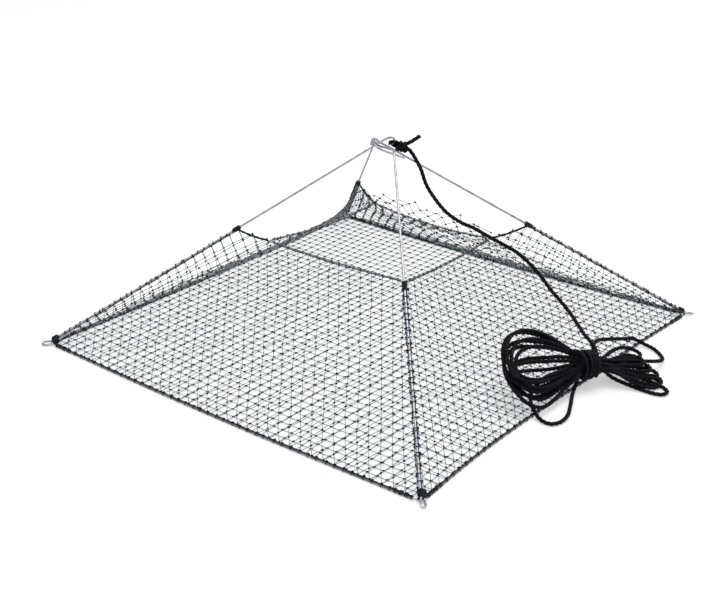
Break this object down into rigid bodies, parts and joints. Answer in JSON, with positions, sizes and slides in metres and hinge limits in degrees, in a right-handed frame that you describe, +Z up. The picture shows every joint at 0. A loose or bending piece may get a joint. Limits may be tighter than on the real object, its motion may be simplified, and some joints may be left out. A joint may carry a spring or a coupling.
{
  "type": "folding square fishing net on a wire frame with a lifting rope",
  "caption": "Square lift net: flat floor net, four sloping net walls with an open square mouth, wire arms hooked at the top, and a lifting rope wound in a hank",
  "frame": {"origin": "on the ground under the middle of the square base", "axes": "+Z up; the edges of the base run along X and Y; the hank of rope lies past the +X edge"},
  "size_m": [0.6824, 0.6204, 0.2692],
  "materials": {
    "netting": "knotted dark green twine",
    "lashing": "dark lashing twine and gathered netting",
    "cord": "lilac grey laid cord",
    "steel_wire": "bright galvanised wire",
    "rope": "black three strand laid rope"
  },
  "bodies": {
    "root": {"floor_net": "netting", "wall_front": "netting", "wall_right": "netting", "wall_back": "netting", "wall_left": "netting", "edge_cord_front": "cord", "edge_cord_right": "cord", "edge_cord_back": "cord", "edge_cord_left": "cord", "mouth_cord_front": "cord", "mouth_cord_right": "cord", "mouth_cord_back": "cord", "mouth_cord_left": "cord", "mouth_link_left": "lashing", "mouth_link_front": "lashing", "mouth_link_right": "lashing", "mouth_link_back": "lashing", "mouth_lashing_left": "lashing", "mouth_lashing_front": "lashing", "mouth_lashing_right": "lashing", "mouth_lashing_back": "lashing", "corner_lashing_left": "lashing", "corner_lashing_front": "lashing", "corner_lashing_right": "lashing", "corner_lashing_back": "lashing", "arm_left": "steel_wire", "arm_front": "steel_wire", "arm_right": "steel_wire", "arm_back": "steel_wire", "rope_knot": "rope", "rope_tail": "rope", "rope_lead": "rope", "rope_hank": "rope", "rope_tie": "rope"}
  },
  "joints": []
}
